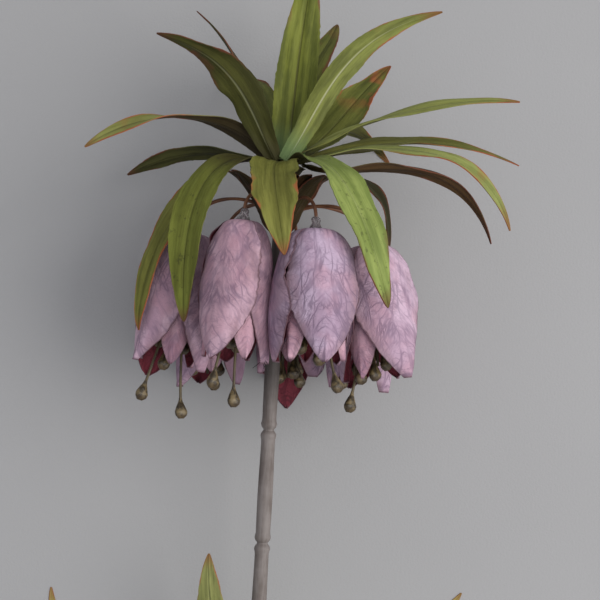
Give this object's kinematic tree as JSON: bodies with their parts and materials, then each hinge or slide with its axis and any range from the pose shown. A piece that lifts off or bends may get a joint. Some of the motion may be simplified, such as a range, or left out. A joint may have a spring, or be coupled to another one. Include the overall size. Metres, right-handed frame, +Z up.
{
  "type": "artificial crown imperial flower stem",
  "caption": "Cut artificial flower stem lying on its back: a tuft of strap leaves over a ring of hanging bell flowers, with two whorls of leaves low on a ringed stem.",
  "frame": {"origin": "centre of the outline on the surface that the stem lies on", "axes": "+Y from the cut end to the crown, +Z up from the surface, +X to the flower's right as the camera above sees it"},
  "size_m": [0.2046, 0.5688, 0.1169],
  "materials": {
    "stem": "moulded taupe plastic, dull, darker at the back",
    "pedicel": "red-brown wrapped wire with a cap of clear glue",
    "outer_petal": "printed cloth, mauve with purple-grey veins outside and dark red inside",
    "inner_petal": "printed cloth, rose outside and dark red inside",
    "stamen": "straw-coloured threads with ochre anthers",
    "leaf": "printed cloth, green with long veins and reddish edges near the tips"
  },
  "bodies": {
    "root": {"crown_disc": "stem", "stem": "stem", "pedicel_01": "pedicel", "outer_petals_01": "outer_petal", "inner_petals_01": "inner_petal", "stamens_01": "stamen", "pedicel_02": "pedicel", "outer_petals_02": "outer_petal", "inner_petals_02": "inner_petal", "stamens_02": "stamen", "pedicel_03": "pedicel", "outer_petals_03": "outer_petal", "inner_petals_03": "inner_petal", "stamens_03": "stamen", "pedicel_04": "pedicel", "outer_petals_04": "outer_petal", "inner_petals_04": "inner_petal", "stamens_04": "stamen", "pedicel_05": "pedicel", "outer_petals_05": "outer_petal", "inner_petals_05": "inner_petal", "stamens_05": "stamen", "pedicel_06": "pedicel", "outer_petals_06": "outer_petal", "inner_petals_06": "inner_petal", "stamens_06": "stamen", "pedicel_07": "pedicel", "outer_petals_07": "outer_petal", "inner_petals_07": "inner_petal", "stamens_07": "stamen", "crown_leaf_01": "leaf", "crown_leaf_02": "leaf", "crown_leaf_03": "leaf", "crown_leaf_04": "leaf", "crown_leaf_05": "leaf", "crown_leaf_06": "leaf", "crown_leaf_07": "leaf", "crown_leaf_08": "leaf", "crown_leaf_09": "leaf", "crown_leaf_10": "leaf", "crown_leaf_11": "leaf", "crown_leaf_12": "leaf", "crown_leaf_13": "leaf", "crown_leaf_14": "leaf", "crown_leaf_15": "leaf", "crown_leaf_16": "leaf", "crown_leaf_17": "leaf", "crown_leaf_18": "leaf", "crown_leaf_19": "leaf", "crown_leaf_20": "leaf", "stem_leaf_01": "leaf", "stem_leaf_02": "leaf", "stem_leaf_03": "leaf", "stem_leaf_04": "leaf", "stem_leaf_05": "leaf", "stem_leaf_06": "leaf", "stem_leaf_07": "leaf", "stem_leaf_08": "leaf", "stem_leaf_09": "leaf", "stem_leaf_10": "leaf"}
  },
  "joints": []
}
